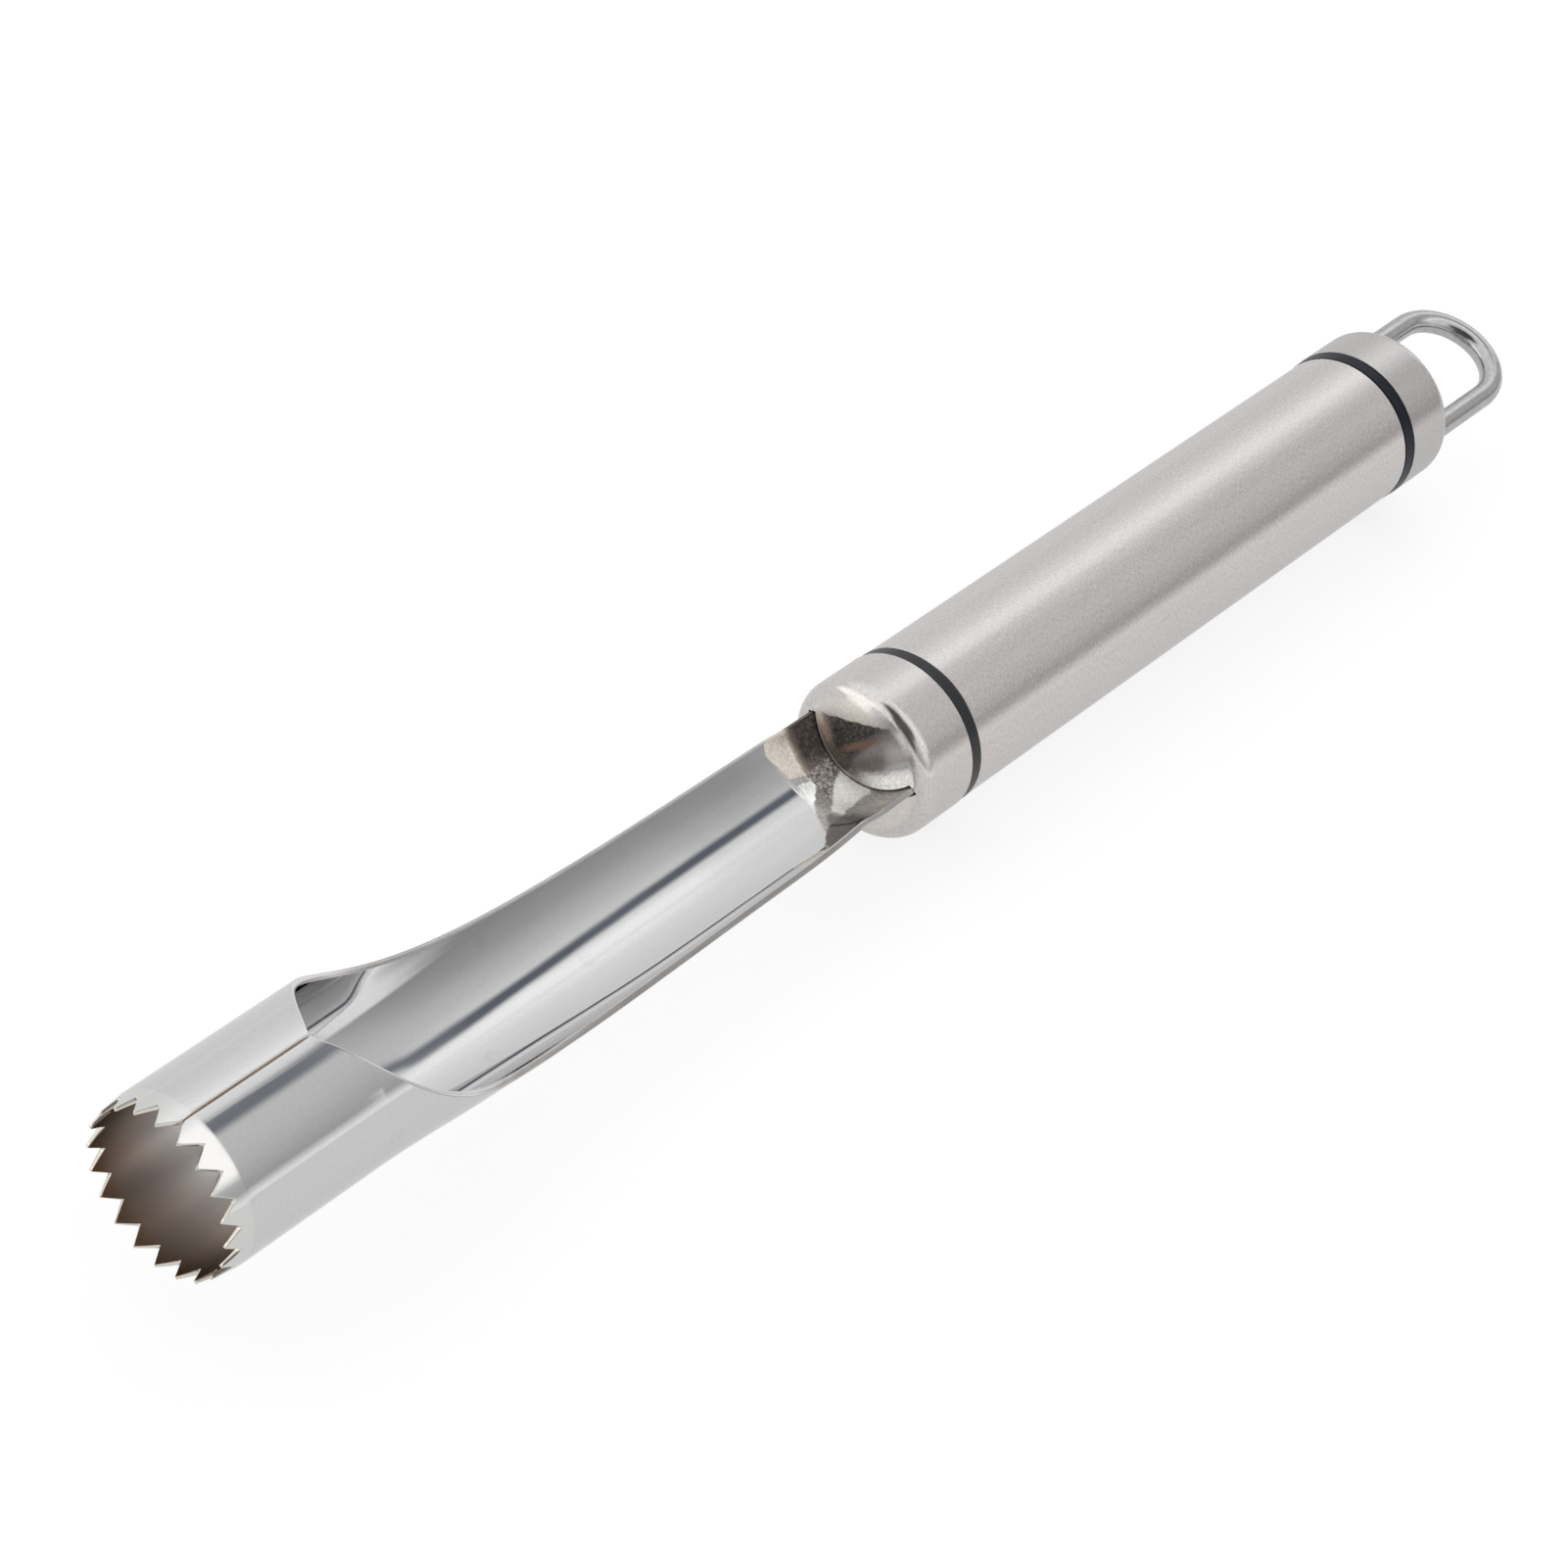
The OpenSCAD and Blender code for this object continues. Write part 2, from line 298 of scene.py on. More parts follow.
def make_world():
    """Plain white to the camera, and to reflections a surround that changes along X and about it.

    In the photo's view the tool's round sides reflect one narrow part of it each: x is 0.51 to 0.53
    for the closed tube, 0.53 to 0.63 for the trough from front to rear, and 0.64 to 0.74 for the
    handle. What faces the front reflects the rest.
    """
    w = bpy.data.worlds.new("studio")
    bpy.context.scene.world = w
    w.use_nodes = True
    t = Tree(w.node_tree)
    out = t.node("ShaderNodeOutputWorld")
    d = t.node("ShaderNodeTexCoord").outputs["Generated"]
    sep = t.node("ShaderNodeSeparateXYZ")
    t.put(sep.inputs[0], d)
    x, y, z = sep.outputs
    # Turn about the X axis, in degrees: 0 is overhead, 90 is +Y, -90 is -Y
    turn = t.math("MULTIPLY", t.math("ARCTAN2", y, z), 180 / math.pi)
    share = t.math("DIVIDE", t.math("ADD", turn, 180.0), 360.0)

    def by_turn(*stops):
        return t.ramp(share, [((deg + 180) / 360, c) for deg, c in stops])

    walls = by_turn((-180, 1.0), (-87, 0.98), (-77, 0.44), (-63, 0.53), (-50, 0.60), (-32, 0.66),
                    (-12, 0.68), (2, 0.78), (18, 0.92), (34, 1.08), (47, 0.93), (66, 0.83), (78, 0.80),
                    (90, 0.84), (126, 0.98), (180, 1.0))
    # The walls that the rear of the trough sees are dimmer
    away = by_turn((-55, 1.0), (-35, 0.83), (6, 0.83), (16, 0.91), (42, 0.91), (54, 1.0))
    dim = t.band(x, 0.592, 0.612, 0.632, 0.644)
    lit = t.blend(dim, walls, t.blend(1.0, walls, away, "MULTIPLY"))
    # A thin dark gap beside the brightest panel, which ends before the rear
    centre = t.math("ADD", t.span(x, 0.529, 0.541, 1.2, 15.1), t.span(x, 0.548, 0.600, 0.0, -4.6))
    off = t.math("ABSOLUTE", t.math("SUBTRACT", turn, centre))
    off = t.math("DIVIDE", off, t.span(x, 0.527, 0.575, 1.62, 1.0))
    gap = t.product(t.span(off, 2.0, 9.5, 1.0, 0.0), t.span(x, 0.632, 0.641, 1.0, 0.0),
                    t.span(x, 0.527, 0.56, 0.88, 1.0))
    lit = t.blend(gap, lit, (0.14, 0.155, 0.185))
    # A dimmer patch of wall on the near side, and a bright strip at its foot
    patch = t.product(t.band(x, 0.52, 0.58, 0.61, 0.64), t.span(turn, -50, 0, 0.36, 0.0),
                      t.span(turn, -82, -74))
    lit = t.blend(patch, lit, (0.0, 0.0, 0.0))
    foot = t.product(t.band(x, 0.527, 0.534, 0.565, 0.585), t.band(turn, -95, -88, -73, -67))
    lit = t.blend(foot, lit, (0.98, 0.97, 0.97))
    # A brighter strip beside the gap
    lobe = t.product(t.hump(turn, 32.0, 2.0, 12.0), t.band(x, 0.52, 0.56, 0.590, 0.612))
    lit = t.blend(lobe, lit, (1.18, 1.18, 1.19))
    # A dimmer, warmer room that the handle sees, with a strip of its own
    rear = t.span(x, 0.62, 0.65)
    level = by_turn((-110, 0.90), (-82, 0.92), (-76, 0.84), (-62, 0.93), (-30, 1.0), (-12, 0.88),
                    (0, 0.90), (4, 1.0), (50, 0.98), (64, 0.90), (90, 0.90))
    tint = by_turn((-90, (1.0, 0.98, 0.975)), (-76, (1.0, 0.965, 0.94)), (-20, (1.0, 0.97, 0.95)),
                   (6, (1.0, 0.995, 1.0)), (60, (1.0, 1.0, 1.0)))
    room = t.blend(1.0, t.blend(1.0, lit, level, "MULTIPLY"), tint, "MULTIPLY")
    lit = t.blend(rear, lit, room)
    lit = t.blend(t.product(t.hump(turn, 23.0, 3.0, 20.0), rear), lit, (1.20, 1.19, 1.20))
    # Soft overhead panels, which only what faces the front sees
    panel = t.product(t.band(x, -0.55, -0.30, 0.14, 0.24), t.band(turn, -88, -62, 50, 75), 0.85)
    lit = t.blend(panel, lit, (1.06, 1.05, 1.04))
    strip = t.product(t.band(x, 0.10, 0.20, 0.36, 0.44), t.band(turn, -66, -52, 8, 24))
    lit = t.blend(strip, lit, (1.30, 1.29, 1.27))

    def blob(azimuth, height, inner, outer):
        """A round patch of the surround: its direction and its two radii, in degrees."""
        a, h = math.radians(azimuth), math.radians(height)
        axis = (math.cos(h) * math.cos(a), math.cos(h) * math.sin(a), math.sin(h))
        near = t.measure("DOT_PRODUCT", d, axis)
        return t.span(near, math.cos(math.radians(outer)), math.cos(math.radians(inner)))

    # In front of the tool: a bright window to one side and the dark of the camera
    lit = t.blend(blob(138, 5, 16, 31), lit, (1.46, 1.43, 1.37))
    dark = t.math("MAXIMUM", blob(-163, 26, 11, 23),
                  t.math("MAXIMUM", blob(-176, 57, 12, 25), blob(-146, 52, 10, 22)))
    lit = t.blend(t.product(dark, 0.94), lit, (0.06, 0.05, 0.05))
    studio = t.node("ShaderNodeBackground")
    t.put(studio.inputs[0], lit)
    plain = t.node("ShaderNodeBackground")
    plain.inputs[0].default_value = (1, 1, 1, 1)
    choice = t.node("ShaderNodeMixShader")
    t.put(choice.inputs[0], t.node("ShaderNodeLightPath").outputs["Is Camera Ray"])
    t.put(choice.inputs[1], studio.outputs[0])
    t.put(choice.inputs[2], plain.outputs[0])
    t.put(out.inputs[0], choice.outputs[0])


# The floor is grey paint under its own glow, so that it is white and still shows the shadow
FLOOR_GREY = (0.38, 0.38, 0.38, 1)
GLOW_SEEN = 0.74
GLOW_REFLECTED = 0.50
FLOOR_HALF = 6.0


def make_floor():
    m, t, s = material("floor_white")
    s.inputs["Base Color"].default_value = FLOOR_GREY
    s.inputs["Roughness"].default_value = 0.9
    s.inputs["Specular IOR Level"].default_value = 0.0
    glow = t.node("ShaderNodeEmission")
    glow.inputs[0].default_value = (1, 1, 1, 1)
    rays = t.node("ShaderNodeLightPath").outputs
    mirrored = t.math("MAXIMUM", rays["Is Glossy Ray"], rays["Is Transmission Ray"])
    reflected = t.product(mirrored, GLOW_REFLECTED)
    seen = t.product(rays["Is Camera Ray"], GLOW_SEEN)
    t.put(glow.inputs[1], t.math("MAXIMUM", reflected, seen))
    add = t.node("ShaderNodeAddShader")
    t.put(add.inputs[0], s.outputs[0])
    t.put(add.inputs[1], glow.outputs[0])
    t.put(t.surface, add.outputs[0])
    me = bpy.data.meshes.new("floor")
    bm = bmesh.new()
    bmesh.ops.create_grid(bm, x_segments=8, y_segments=8, size=FLOOR_HALF)
    bm.to_mesh(me)
    bm.free()
    me.materials.append(m)
    floor = bpy.data.objects.new("floor", me)
    bpy.context.scene.collection.objects.link(floor)


# The blade's materials. Places in the plan are x and y in millimetres

# The radii in the sheet's thickness, just past its inner face, where the inside's finish ends
PAST_INNER_FACE = (9.50, 9.62)
# Where the polish ends, which bends back towards the teeth on the near side: y and x
POLISH_END = ((-9, -23.8), (-7, -22.8), (-5, -20.3), (-3, -19.0), (-1.5, -17.9), (0, -17.45),
              (1.6, -17.05), (3, -17.1), (5, -17.5), (6.4, -18.0), (7.3, -17.5), (8, -16.8))
# The lines between the neck's zones, from the near side to the far side
ZONE_FOOT = ((-17.0, -5.2), (-10.0, -4.9))
ZONE_SHEEN = ((-17.2, -4.6), (-10.5, -3.5))
ZONE_DUST = ((-19.9, -4.9), (-12.5, -0.2))
ZONE_RIDGE = ((-18.0, -1.6), (-13.4, 1.3))


def clean_sheet(t, pos):
    """The colour of polished sheet with faint water marks."""
    fine = t.noise(pos, 2400.0)
    col = t.blend(t.span(fine, 0.3, 0.7), (0.676, 0.676, 0.680), (0.702, 0.701, 0.704))
    cells = t.node("ShaderNodeTexVoronoi")
    cells.inputs["Scale"].default_value = 130.0
    t.put(cells.inputs["Vector"], pos)
    marks = t.hump(cells.outputs["Distance"], 0.10, 0.0, 0.07)
    marks = t.product(marks, t.span(t.noise(pos, 300.0), 0.45, 0.6), 0.20)
    return t.blend(marks, col, (0.52, 0.50, 0.49))


def polish_end(t, x, y):
    """0 on the polished sheet and 1 behind it."""
    y0, y1, x0, x1 = -9, 8, -24, -15
    stops = [((b - y0) / (y1 - y0), (a - x0) / (x1 - x0)) for b, a in POLISH_END]
    line = t.ramp(t.span(y, y0 * MM, y1 * MM, smooth=False), stops)
    line = t.math("MULTIPLY_ADD", line, (x1 - x0) * MM, x0 * MM)
    return t.span_mm(t.math("SUBTRACT", x, line), -0.35, 0.35)


def neck_stains_and_reflections(t, pos, x, y):
    """Heat tint and matt patches where the sheet is pressed and welded into the cap, among painted
    reflections of the cap and painted shade in creases.

    Returns their colour and four masks: the neck, the bright metal in it, the smoothest of that
    metal, and the fine speck that the bump takes too.
    """
    neck = polish_end(t, x, y)
    wobble, wobbles = t.noises(pos, 420.0, 3.0)
    wobble = t.math("SUBTRACT", wobble, 0.5)
    at = t.shaken(pos, wobbles, 1.6)
    across = t.math("SUBTRACT", x, t.product(wobble, 1.2 * MM))
    along = t.math("SUBTRACT", y, t.product(wobble, 0.9 * MM))
    speck = t.noise(pos, 2600.0, 3.0, 0.7)
    grit = t.span(speck, 0.36, 0.66)
    coarse = t.blend(t.span(speck, 0.40, 0.60), (0.19, 0.165, 0.155), (0.72, 0.665, 0.63))

    def gritty(low, high):
        return t.blend(grit, low, high)

    # The near wing, dark at the front
    col = t.blend(t.span_mm(across, -16.6, -13.0), gritty((0.11, 0.10, 0.095), (0.17, 0.155, 0.15)),
                  gritty((0.36, 0.33, 0.295), (0.60, 0.55, 0.50)))
    foot = t.product(t.side(at, *ZONE_FOOT), t.span_mm(across, -17.4, -15.4))
    col = t.blend(foot, col, gritty((0.30, 0.30, 0.28), (0.46, 0.455, 0.435)))
    # The floor: bright metal, then dust
    pale = t.span_mm(across, -17.8, -16.2)
    sheen = t.blend(pale, (0.19, 0.18, 0.18), gritty((0.68, 0.655, 0.62), (0.86, 0.835, 0.80)))
    past_sheen = t.side(at, *ZONE_SHEEN)
    col = t.blend(past_sheen, col, sheen)
    dust = gritty((0.36, 0.34, 0.325), (0.64, 0.61, 0.58))
    dust = t.blend(t.span_mm(across, -15.2, -13.6), dust, coarse)
    past_dust = t.side(at, *ZONE_DUST)
    col = t.blend(past_dust, col, dust)
    # The far wing: white metal, a grey band, a beige painted reflection, and behind it heat tint that a
    # painted reflection darkens further
    past_ridge = t.side(at, *ZONE_RIDGE)
    # White, lighter than steel: a painted reflection of the cap's bright rounding
    white = gritty((0.93, 0.92, 0.90), (1.0, 0.995, 0.98))
    white = t.blend(t.span_mm(across, -14.3, -13.7), white, coarse)
    col = t.blend(past_ridge, col, white)
    band = t.product(t.span_mm(along, 1.85, 2.15), t.span_mm(across, -14.3, -13.7, 1.0, 0.0))
    col = t.blend(band, col, gritty((0.38, 0.375, 0.37), (0.54, 0.535, 0.53)))
    # Heat tint, darkened further by a painted reflection of the cap's dark face
    scorch_and_reflections = t.blend(t.span(speck, 0.44, 0.66), (0.070, 0.059, 0.052), (0.18, 0.155, 0.14))
    scorch_and_reflections = t.blend(t.span_mm(along, 3.0, 4.8, 0.85, 0.0), scorch_and_reflections,
                     gritty((0.17, 0.14, 0.13), (0.38, 0.33, 0.29)))
    scorch_and_reflections = t.blend(t.span_mm(across, -13.0, -12.2), (0.27, 0.20, 0.17), scorch_and_reflections)
    # Beige: a painted reflection of the cap's bright side
    cream_reflection = gritty((0.68, 0.625, 0.545), (0.90, 0.835, 0.745))
    far = t.blend(t.span_mm(across, -13.9, -12.9), cream_reflection, scorch_and_reflections)
    col = t.blend(t.span_mm(along, 2.8, 3.1), col, far)
    # Three creases painted near black as their shade, and one pale patch, on the near wing
    crease_shade, patch = (0.02, 0.02, 0.02), (0.85, 0.82, 0.76)
    for cx, cy, rx, ry, turn, tone, amount in (
            (-18.7, -5.6, 1.0, 0.30, -52, crease_shade, 0.95),
            (-17.7, -6.6, 0.90, 0.30, -28, crease_shade, 0.95),
            (-17.4, -7.3, 1.50, 0.30, 22, crease_shade, 0.95),
            (-21.5, -5.7, 1.10, 0.35, 39, patch, 0.9)):
        col = t.blend(t.product(t.spot(at, cx, cy, rx, ry, turn, 0.35), amount), col, tone)
    # The bright metal: above the ridge, and between the sheen's two lines
    above = t.product(past_ridge, t.span_mm(across, -14.1, -13.3, 1.0, 0.0))
    below = t.product(t.math("SUBTRACT", past_sheen, past_dust), pale,
                      t.span_mm(across, -14.0, -11.5, 1.0, 0.90))
    bright = t.product(t.math("MAXIMUM", above, below), neck)
    smooth = t.product(above, t.span_mm(along, 1.8, 2.2, 1.0, 0.0))
    return col, neck, bright, smooth, speck


def bore_metal(t, pos, depth):
    """The colour of the untreated inside of the mouth, darker and warmer towards the teeth."""
    deep = t.span(depth, 0.5 * MM, 12.5 * MM, smooth=False)
    bare = t.ramp(deep, [(0.0, (0.25, 0.17, 0.105)), (0.08, (0.27, 0.20, 0.145)),
                         (0.17, (0.31, 0.255, 0.22)), (0.30, (0.355, 0.305, 0.275)),
                         (0.46, (0.415, 0.37, 0.35)), (0.65, (0.53, 0.485, 0.465)),
                         (0.9, (0.72, 0.68, 0.65))])
    drift = t.noise(t.stretch(pos, 0.5, 1.0, 1.0), 190.0)
    return t.blend(t.span(drift, 0.35, 0.7), bare, (0.60, 0.55, 0.51), "OVERLAY")


def pressed_normal(t, bright, x, y, up):
    """The surface's direction, with the parts that are pressed more gently than the mesh."""
    surface = t.surface_normal()
    # The neck's bright flats lose their own slope along the tool, and lean forwards towards the cap
    lean = t.product(bright, t.span_mm(x, -15.0, -11.5, -0.10, -0.34))
    face = t.vector("MULTIPLY_ADD", surface, t.combine(t.inverse(bright), 1.0, 1.0), t.combine(lean))
    # The window's far wing is opened outwards
    angle = t.math("ARCTAN2", y, t.math("MULTIPLY", up, -1.0))
    wing = t.product(t.span(angle, 0.93, 1.23), t.span_mm(x, -84.6, -78.2), 0.22)
    push = t.vector("MULTIPLY", t.vector("CROSS_PRODUCT", surface, (1.0, 0.0, 0.0)), wing)
    return t.vector("NORMALIZE", t.vector("ADD", face, push))


def polished_steel():
    """The blade: mirror polished sheet, matt inside the mouth and on the bevel, stained at the neck,
    where painted reflections and painted shade in creases are mixed in.
    """
    m, t, s = material("polished_steel")
    pos, x, y, z = place(t)
    up = t.math("SUBTRACT", z, BLADE_Z * MM)
    depth = t.math("SUBTRACT", x, TIP_X * MM)
    rad = t.length(y, up)
    inside = t.span_mm(rad, *PAST_INNER_FACE, 1.0, 0.0)
    bore = t.product(inside, t.span_mm(depth, 9, 19, 1.0, 0.0))
    ground = t.product(t.span_mm(rad, *PAST_INNER_FACE), t.span_mm(depth, 3.3, 3.6, 1.0, 0.0))
    # The neck's colour: heat tint, with painted reflections of the cap and painted shade in creases
    stains_and_reflections, neck, bright, smooth, speck = neck_stains_and_reflections(t, pos, x, y)
    col = t.blend(neck, clean_sheet(t, pos), stains_and_reflections)
    col = t.blend(bore, col, bore_metal(t, pos, depth))
    # The far wall inside the window is darker: painted shade
    far_wall_shade = t.product(inside, t.span_mm(up, -6, 0.0), t.span_mm(y, 0, 4))
    far_wall_shade = t.product(t.band_mm(x, -101, -96, -88, -82), far_wall_shade)
    col = t.blend(far_wall_shade, col, (0.50, 0.485, 0.485))
    t.put(s.inputs["Base Color"], t.blend(ground, col, (0.74, 0.735, 0.73)))
    # Stains are mostly matt, and the bright parts among them are bare metal
    dull = t.product(neck, t.inverse(bright))
    t.put(s.inputs["Metallic"], t.math("MULTIPLY_ADD", dull, -0.8, 1.0))
    smear = t.noise(t.stretch(pos, 1.0, 6.0, 6.0), 60.0, 3.0)
    rough = t.span(smear, 0.35, 0.75, 0.035, 0.075)
    for part in (t.product(neck, t.math("MULTIPLY_ADD", smooth, -0.12, 0.30)), t.product(bore, 0.26),
                 t.product(ground, 0.08)):
        rough = t.math("ADD", rough, part)
    t.put(s.inputs["Roughness"], rough)
    lines = t.noise(t.stretch(pos, 0.03, 1.0, 1.0), 5200.0)
    wave = t.noise(t.stretch(pos, 0.7, 1.0, 1.0), 110.0, 1.0)
    height = t.math("MULTIPLY_ADD", lines, 0.05, t.product(wave, 1.6))
    for part in (t.product(speck, neck, 1.6), t.product(speck, bore, 0.3)):
        height = t.math("ADD", height, part)
    t.put(s.inputs["Normal"], t.bump(height, 0.35, 0.00005, pressed_normal(t, bright, x, y, up)))
    return m


def cut_edge():
    """The sheared and tumbled edge of the sheet: duller than its faces, and brown in the seam."""
    m, t, s = material("cut_edge")
    pos, x, y = place(t)[:3]
    s.inputs["Metallic"].default_value = 1.0
    s.inputs["Roughness"].default_value = 0.26
    grain = t.noise(t.stretch(pos, 0.15, 1.0, 1.0), 1500.0)
    col = t.blend(t.span(grain, 0.3, 0.7), (0.52, 0.505, 0.495), (0.60, 0.59, 0.58))
    # Lighter along the window: a painted highlight on its rim
    window = t.span_mm(x, -86, -80, 1.0, 0.0)
    col = t.blend(window, col, (0.84, 0.82, 0.83))
    seam = t.span_mm(x, TIP_X + CLOSED - 1.5, TIP_X + CLOSED, 1.0, 0.0)
    col = t.blend(seam, col, (0.84, 0.77, 0.71))
    tips = t.span_mm(x, TIP_X + TOOTH_DEPTH, TIP_X + TOOTH_DEPTH + 0.4, 1.0, 0.0)
    col = t.blend(tips, col, (0.80, 0.76, 0.68))
    # The neck's beige painted reflection and its darkened heat tint go on over the edge
    stain_and_reflection = t.product(t.span_mm(x, -17.6, -16.8), t.span_mm(y, 2, 4))
    scorch_and_reflections = t.blend(t.span_mm(x, -14.0, -12.6), (0.70, 0.66, 0.58), (0.10, 0.085, 0.075))
    t.put(s.inputs["Base Color"], t.blend(stain_and_reflection, col, scorch_and_reflections))
    return m


# The handle's materials

HANDLE_R = 10.0
# The slot's arc in the front cap's face: its centre above the axis, and the radius of the highlight
# painted on its rim
SLOT_UP = NECK_R - NECK_FLOOR
SLOT_RIM = 8.80


def face_marks(t, pos, y, up):
    """The front cap's face, with painted reflections of the trough and the dark surroundings, and brown
    marks.

    Places on it are y and the height over the axis, in millimetres. Returns its colour and three
    masks: how dull it is, the pressed lower corner, and the crest at the top.
    """
    flat = t.combine(y, up)
    at = t.shaken(flat, t.noises(pos, 520.0, 3.0)[1], 0.8)
    dots = t.span(t.noise(pos, 3200.0, 3.0, 0.7), 0.42, 0.64)
    from_slot = t.measure("DISTANCE", flat, (0.0, SLOT_UP * MM, 0.0))
    outside = t.span_mm(from_slot, 9.3, 9.8)

    def dotted(low, high):
        return t.blend(dots, low, high)

    # Painted reflections: a dark ground with a lighter patch, and a light lower corner
    col = dotted((0.29, 0.26, 0.25), (0.37, 0.335, 0.325))
    col = t.blend(t.spot(at, -5.2, 5.2, 1.9, 1.7, 40), col, (0.57, 0.53, 0.54))
    corner = t.product(t.side(at, (0.4, -1.2), (-6.6, 5.0), 1.1), t.inverse(outside))
    col = t.blend(corner, col, dotted((0.60, 0.59, 0.58), (0.82, 0.81, 0.80)))
    # A dark painted reflection past a straight line
    painted_dark_reflection = t.side(at, (-1.9, 7.8), (1.0, -1.2), 0.6)
    col = t.blend(painted_dark_reflection, col, dotted((0.036, 0.034, 0.033), (0.15, 0.14, 0.13)))
    # Two dark patches and a light warm one, painted reflections
    for cx, cy, rx, ry, turn, soft, low, high in (
            (5.3, 3.4, 1.5, 0.9, -20, 0.5, (0.12, 0.095, 0.085), (0.22, 0.17, 0.155)),
            (2.4, 0.7, 2.9, 1.0, 10, 0.5, (0.13, 0.11, 0.085), (0.26, 0.225, 0.185)),
            (5.5, 2.2, 1.9, 1.1, 38, 0.9, (0.56, 0.44, 0.365), (0.80, 0.63, 0.53))):
        col = t.blend(t.spot(at, cx, cy, rx, ry, turn, soft), col, dotted(low, high))
    # A near-white painted highlight
    col = t.blend(t.spot(at, 6.8, 2.8, 1.0, 0.8, 20, 0.7), col, (0.98, 0.90, 0.76))
    brown = t.product(t.spot(at, 0.0, 3.9, 0.50, 2.8, 40), 0.9)
    col = t.blend(brown, col, (0.27, 0.17, 0.125))
    # Clean above the straight edge of the dark painted reflection and outside the slot, and a highlight
    # painted on the slot's rim
    rim = dotted((0.76, 0.72, 0.67), (0.88, 0.84, 0.79))
    rim = t.blend(t.spot(at, -3.6, 7.0, 1.9, 1.0, 20), rim, (0.54, 0.53, 0.52))
    clean = t.math("MAXIMUM", t.side(at, (-2.6, 7.95), (7.6, 3.1), 0.12), outside)
    col = t.blend(clean, col, rim)
    rim_highlight = t.hump(from_slot, SLOT_RIM * MM, 0.06 * MM, 0.14 * MM)
    rim_highlight = t.product(rim_highlight, t.span_mm(y, -1.0, 0.6), 0.7)
    col = t.blend(rim_highlight, col, (0.90, 0.87, 0.82))
    dull = t.product(painted_dark_reflection, t.inverse(clean))
    crest = t.inverse(t.side(at, (6.0, 7.2), (-2.2, 8.3), 0.35))
    crest = t.product(crest, t.band_mm(y, -0.4, 1.8, 3.6, 6.0))
    return col, dull, corner, crest


def brushed_steel(name, low, high, side_rough, cap=False, marks=False):
    """Satin steel that is brushed round its axis, in two tones and with the sides' roughness.

    A cap's face and rounding have a finish of their own. The marks are the front cap's, and need cap.
    """
    m, t, s = material(name)
    pos, x, y, z = place(t)
    s.inputs["Metallic"].default_value = 1.0
    s.inputs["Anisotropic"].default_value = 0.94
    s.inputs["Anisotropic Rotation"].default_value = 0.25
    around = t.node("ShaderNodeTangent", direction_type="RADIAL", axis="X")
    t.put(s.inputs["Tangent"], around.outputs[0])
    up = t.math("SUBTRACT", z, AXIS_Z * MM)
    # The surface rolled out flat: along the tool, and round it
    sheet = t.combine(x, t.product(t.math("ARCTAN2", y, up), HANDLE_R * MM))
    lines = t.noise(t.stretch(sheet, 1.0, 0.12, 1.0), 5200.0, 3.0, 0.6)
    streak = t.noise(t.stretch(sheet, 1.0, 0.35, 1.0), 5000.0, 2.0, 0.6)
    speck = t.noise(pos, 6500.0)
    cloud = t.noise(pos, 90.0)
    grain = t.math("ADD", t.product(t.span(streak, 0.32, 0.68, smooth=False), 0.5),
                   t.product(t.span(speck, 0.32, 0.68, smooth=False), 0.4))
    grain = t.math("ADD", grain, t.product(cloud, 0.1))
    col = t.blend(grain, low, high)
    rough = t.span(streak, 0.3, 0.7, side_rough - 0.015, side_rough + 0.015)
    normal = None
    if cap:
        # Distance in from the nearer crown, over which the rounding turns into the side
        front = t.math("SUBTRACT", x, CROWN_X * MM)
        rear = t.math("SUBTRACT", REAR_CROWN_X * MM, x)
        face = t.span_mm(t.math("MINIMUM", front, rear), 2.4, 3.4, 1.0, 0.0)
        dome = t.span_mm(t.length(y, up), 7.9, 8.7, 1.0, 0.0)
        rough = t.blend(face, rough, t.math("MULTIPLY_ADD", dome, 0.15, 0.14))
    if marks:
        # The face's colour is painted reflections and brown marks, and it is matt where the dark
        # reflection is painted
        face_reflections_and_marks, dull, corner, crest = face_marks(t, pos, y, up)
        shown = t.product(dome, face)
        col = t.blend(shown, col, face_reflections_and_marks)
        t.put(s.inputs["Metallic"], t.math("MULTIPLY_ADD", t.product(shown, dull), -0.75, 1.0))
        # The pressed parts turn up to the light
        corner = t.product(corner, shown)
        rise = t.math("ADD", t.product(corner, 0.62), t.product(crest, face, 0.16))
        lean = t.combine(0.0, t.product(corner, 0.42), rise)
        normal = t.vector("NORMALIZE", t.vector("ADD", t.surface_normal(), lean))
    t.put(s.inputs["Base Color"], col)
    t.put(s.inputs["Roughness"], rough)
    t.put(s.inputs["Normal"], t.bump(lines, 0.12, 0.00002, normal))
    return m


def dark_plastic(name, low, high, shine=0.5):
    """Moulded plastic in two close tones. shine is the strength of its gloss."""
    m, t, s = material(name)
    grain = t.noise(place(t)[0], 3000.0, 3.0)
    t.put(s.inputs["Base Color"], t.blend(t.span(grain, 0.3, 0.7), low, high))
    s.inputs["Roughness"].default_value = 0.38
    s.inputs["Specular IOR Level"].default_value = shine
    t.put(s.inputs["Normal"], t.bump(grain, 0.15, 0.00003))
    return m


